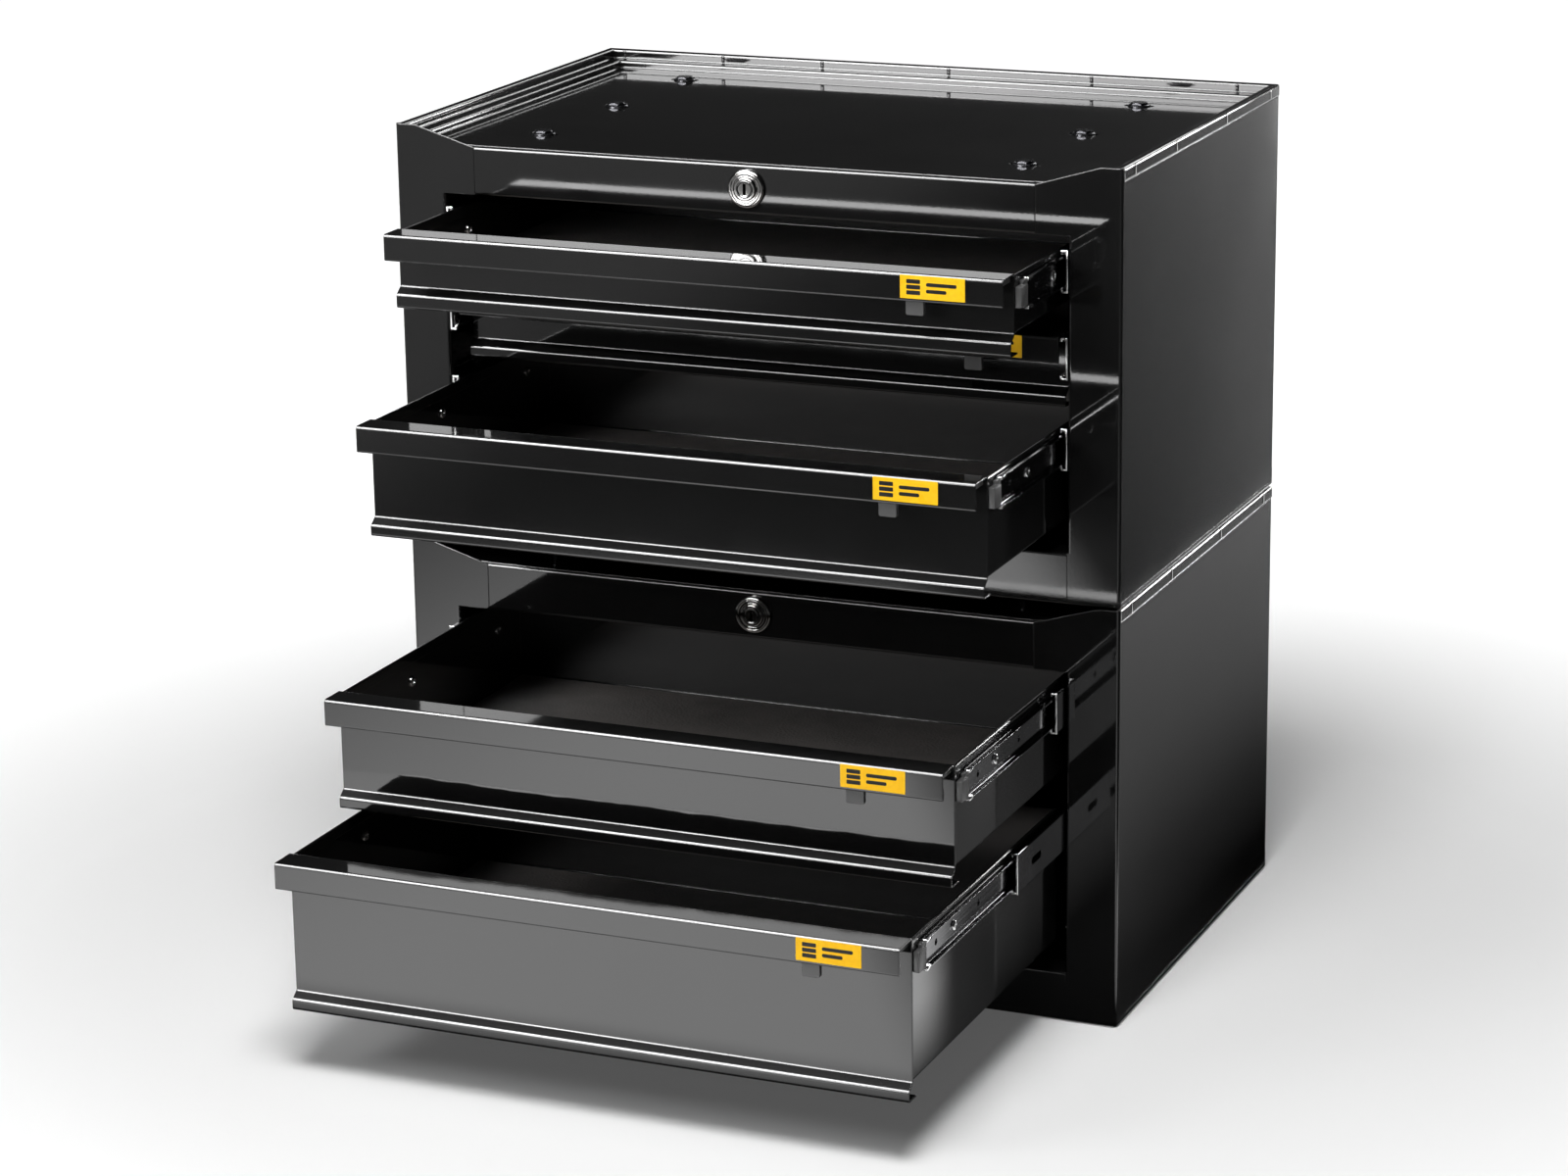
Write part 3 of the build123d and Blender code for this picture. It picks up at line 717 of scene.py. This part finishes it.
def make_cages(drawer):
    """The ball cage in the fixed member and the one in the runner."""
    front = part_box(drawer + "_runner")[0].y
    z = middle_height(drawer + "_runner")
    ball_cage(
        drawer + "_outer_cage", "cabinet", -152 * MM, 6 * MM, z, 264.6 * MM, 262.3 * MM, 18.6 * MM, 1.6 * MM
    )
    ball_cage(
        drawer + "_inner_cage", drawer + "_slides", front + 3 * MM, front + 100 * MM, z,
        260.2 * MM, 257.0 * MM, 13.6 * MM, 1.3 * MM,
    )


# ---------------------------------------------------------------- cabinet details
RIM_WELDS_Y = (-171 * MM, -72 * MM, 56 * MM, 175 * MM)
REAR_WELDS_X = (-287, -193, -100, 16, 144, 271)
SPOT_X = 288 * MM
SPOT_COUNT = 8
SPOT_PITCH = 40
SPOT_PROFILE = [(3.0 * MM, 0), (2.4 * MM, 0.25 * MM), (0, 0.1 * MM)]


def rim_welds(bm, low, high):
    """Tack welds along the tray's sides and its rear rim."""
    for edge in (low.x, high.x):
        for y in RIM_WELDS_Y:
            corner = (edge - 0.3 * MM, y - 1.3 * MM, high.z - 9 * MM)
            add_block(bm, corner, (edge + 0.3 * MM, y + 1.3 * MM, high.z - 0.8 * MM), 0.25 * MM)
    for x in REAR_WELDS_X:
        corner = ((x - 1.4) * MM, high.y - 8.2 * MM, high.z - 6.5 * MM)
        add_block(bm, corner, ((x + 1.4) * MM, high.y - 7.3 * MM, high.z - 1 * MM), 0.3 * MM)


def spot_welds(bm, high):
    """A column of spot welds down each rear flange, where the back panel is joined."""
    for side in (-1, 1):
        for k in range(SPOT_COUNT):
            height = high.z - MODULE_H + (30 + SPOT_PITCH * k) * MM
            add_turned(bm, SPOT_PROFILE, (side * SPOT_X, high.y - 1.2 * MM, height), (0, 1, 0), 16)


def weld_beads():
    """All visible welds of both modules, as one piece."""
    bm = bmesh.new()
    for module in MODULES:
        low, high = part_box("top_tray_" + module)
        rim_welds(bm, low, high)
        spot_welds(bm, high)
    finish_piece("weld_beads", bm, "cabinet", "shell_paint")


EDGE_RADIUS = 2.9 * MM
EDGE_DROP = 4.0 * MM            # the rounded edge ends this far under the side's sheet
EDGE_LAP = 1.5 * MM


def edge_section(side, bottom):
    """Outline in X and Z: down the wall's outer face, round the edge, and back up inside."""
    outer = side * HALF_W
    base = bottom - EDGE_DROP
    lap = bottom + EDGE_LAP
    section = [(outer, lap)]
    for k in range(9):
        angle = math.radians(90 * k / 8)
        x = outer - side * EDGE_RADIUS * (1 - math.cos(angle))
        section.append((x, base + EDGE_RADIUS * (1 - math.sin(angle))))
    tip, inside = outer - side * 3.4 * MM, outer - side * 2.4 * MM
    return section + [(tip, base), (tip, base + 1.2 * MM), (inside, base + 3 * MM), (inside, lap)]


def shell_edges():
    """Rounded lower edges of the side walls, where the sheet turns in under the shell."""
    bm = bmesh.new()
    for module in MODULES:
        low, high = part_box("right_side_" + module)
        for side in (-1, 1):
            section = edge_section(side, low.z)
            front, back = [
                [bm.verts.new((x, y, z)) for x, z in section] for y in (low.y + 3 * MM, high.y - 1.2 * MM)
            ]
            for k in range(len(section)):
                after = (k + 1) % len(section)
                bm.faces.new((front[k], front[after], back[after], back[k]))
            bm.faces.new(front)
            bm.faces.new(list(reversed(back)))
    finish_piece("shell_edges", bm, "cabinet", "shell_paint")


BOLT_X = (-204.5 * MM, 204.5 * MM)
BOLT_Y = (-137 * MM, 0, 137 * MM)
TRAY_DEPTH = 13.5 * MM
WASHER_PROFILE = [
    (7.7 * MM, 0), (9.4 * MM, 0), (9.4 * MM, 0.7 * MM),
    (8.9 * MM, 1.2 * MM), (7.9 * MM, 1.5 * MM), (7.7 * MM, 1.2 * MM), (7.7 * MM, 0),
]


def bolt_washers():
    """Pressed washers round the bolt heads on both trays."""
    bm = bmesh.new()
    for module in MODULES:
        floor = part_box("top_tray_" + module)[1].z - TRAY_DEPTH
        for x in BOLT_X:
            for y in BOLT_Y:
                add_turned(bm, WASHER_PROFILE, (x, y, floor + 0.02 * MM), (0, 0, 1), 32)
    finish_piece("bolt_washers", bm, "cabinet", "fastener_zinc")


BEZEL_RINGS = ((12.3 * MM, 0.55 * MM), (10.2 * MM, 0.45 * MM))
DISH_PROFILE = [
    (7.2 * MM, -0.1 * MM), (7.0 * MM, 0.5 * MM), (6.2 * MM, 0.7 * MM),
    (5.4 * MM, 0.35 * MM), (5.2 * MM, -0.1 * MM),
]


def lock_rings(module):
    """Turned rings on the lock's bezel, and a dished ring round the keyway."""
    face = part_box("lock_housing_" + module)[0].y
    z = middle_height("lock_housing_" + module)
    bm = bmesh.new()
    for radius, section in BEZEL_RINGS:
        ring = []
        for k in range(13):
            angle = 2 * math.pi * k / 12
            ring.append((radius + section * math.cos(angle), section * math.sin(angle)))
        add_turned(bm, ring, (0, face, z), (0, -1, 0), 48)
    finish_piece("lock_rings_" + module, bm, "cabinet", "lock_chrome")
    bm = bmesh.new()
    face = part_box("lock_plug_" + module)[0].y
    add_turned(bm, DISH_PROFILE, (0, face, z), (0, -1, 0), 40)
    finish_piece("lock_dish_" + module, bm, "lock_cylinder_" + module, "lock_chrome", DARK_CHROME)


def make_details():
    for drawer in DRAWERS:
        make_label(drawer)
        slide_screws(drawer)
        end_brackets(drawer)
        runner_ends(drawer)
        end_bumpers(drawer)
        floor_fold(drawer)
        make_cages(drawer)
    for module in MODULES:
        lock_rings(module)
    shell_edges()
    weld_beads()
    bolt_washers()


scene.view_settings.view_transform = "Standard"
make_camera()
make_stage()
make_world()
make_lights()
dress_nodes()
make_details()
